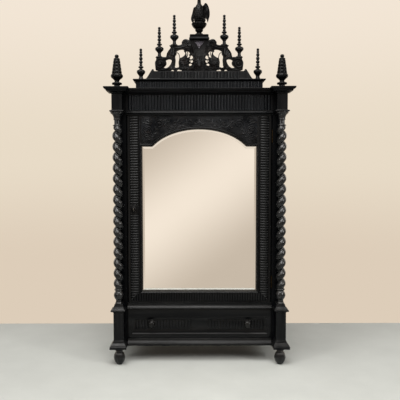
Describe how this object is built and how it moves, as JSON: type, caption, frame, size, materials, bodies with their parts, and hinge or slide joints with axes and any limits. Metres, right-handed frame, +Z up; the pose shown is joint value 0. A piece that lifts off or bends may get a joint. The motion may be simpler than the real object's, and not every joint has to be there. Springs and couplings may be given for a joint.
{
  "type": "mirrored wardrobe",
  "caption": "Tall free-standing wardrobe with an arched mirror door, twisted corner columns, a long drawer below and a pierced crest with turned finials and a bird.",
  "frame": {"origin": "on the floor under the middle of the wardrobe's overall box", "axes": "+Z up, front with the mirror door towards -Y, +X to the right seen from the front"},
  "size_m": [1.338, 0.66, 2.6711],
  "materials": {
    "ebonised_wood": "satin, polished black stain over close-grained wood",
    "plain_wood": "matt, unpolished",
    "silvered_glass": "bevelled, silvered",
    "lock_steel": "aged, filed",
    "fitting_brass": "browned with age, bright only where it rubs"
  },
  "bodies": {
    "carcass": {"front_foot_left": "ebonised_wood", "front_foot_right": "ebonised_wood", "back_post_left": "ebonised_wood", "back_post_right": "ebonised_wood", "pedestal_left": "ebonised_wood", "pedestal_right": "ebonised_wood", "column_left": "ebonised_wood", "column_right": "ebonised_wood", "upper_block_left": "ebonised_wood", "upper_block_right": "ebonised_wood", "corner_stile_left": "ebonised_wood", "corner_stile_right": "ebonised_wood", "side_panel_left": "ebonised_wood", "side_panel_right": "ebonised_wood", "outer_finial_left": "ebonised_wood", "outer_finial_right": "ebonised_wood", "volute_finial_left": "ebonised_wood", "volute_finial_right": "ebonised_wood", "arm_finial_left": "ebonised_wood", "arm_finial_right": "ebonised_wood", "large_finial_left": "ebonised_wood", "large_finial_right": "ebonised_wood", "plinth_rail": "ebonised_wood", "waist_rail": "ebonised_wood", "head_rail": "ebonised_wood", "frieze": "ebonised_wood", "back_panel": "plain_wood", "bottom_board": "plain_wood", "wardrobe_floor": "plain_wood", "hat_shelf": "plain_wood", "hanging_rail": "plain_wood", "cornice": "ebonised_wood", "attic": "ebonised_wood", "podium": "ebonised_wood", "crest_board": "ebonised_wood", "bird_finial": "ebonised_wood", "drawer_runner_left": "plain_wood", "drawer_runner_right": "plain_wood", "hinge_post_leaf_lower": "fitting_brass", "hinge_post_leaf_upper": "fitting_brass"},
    "door": {"door_stile_left": "ebonised_wood", "door_stile_right": "ebonised_wood", "door_bottom_rail": "ebonised_wood", "door_top_rail": "ebonised_wood", "mirror_glass": "silvered_glass", "mirror_backboard": "plain_wood", "mirror_bead": "ebonised_wood", "escutcheon": "ebonised_wood", "lock_case": "lock_steel", "hinge_door_leaf_lower": "fitting_brass", "hinge_door_leaf_upper": "fitting_brass"},
    "key": {"key": "lock_steel"},
    "bolt": {"lock_bolt": "fitting_brass"},
    "drawer": {"drawer_front": "ebonised_wood", "drawer_side_left": "plain_wood", "drawer_side_right": "plain_wood", "drawer_bottom": "plain_wood", "drawer_back": "plain_wood", "drawer_knob_left": "ebonised_wood", "drawer_knob_right": "ebonised_wood"}
  },
  "joints": [
    {"name": "door_hinge", "type": "hinge", "parent": "carcass", "child": "door", "pos_m": [0.5245, -0.1945, 1.11885], "axis": [0, 0, 1], "range_deg": [0, 100]},
    {"name": "drawer_slide", "type": "slide", "parent": "carcass", "child": "drawer", "axis": [0, -1, 0], "range_m": [0, 0.36]},
    {"name": "key_turn", "type": "hinge", "parent": "door", "child": "key", "pos_m": [-0.4745, -0.185, 1.11885], "axis": [0, 1, 0], "range_deg": [0, 180]},
    {"name": "bolt_slide", "type": "slide", "parent": "door", "child": "bolt", "axis": [-1, 0, 0], "range_m": [0, 0.012]}
  ],
  "couplings": [
    {"joint": "key_turn", "follows": "bolt_slide", "rad_per_m": 261.8}
  ]
}
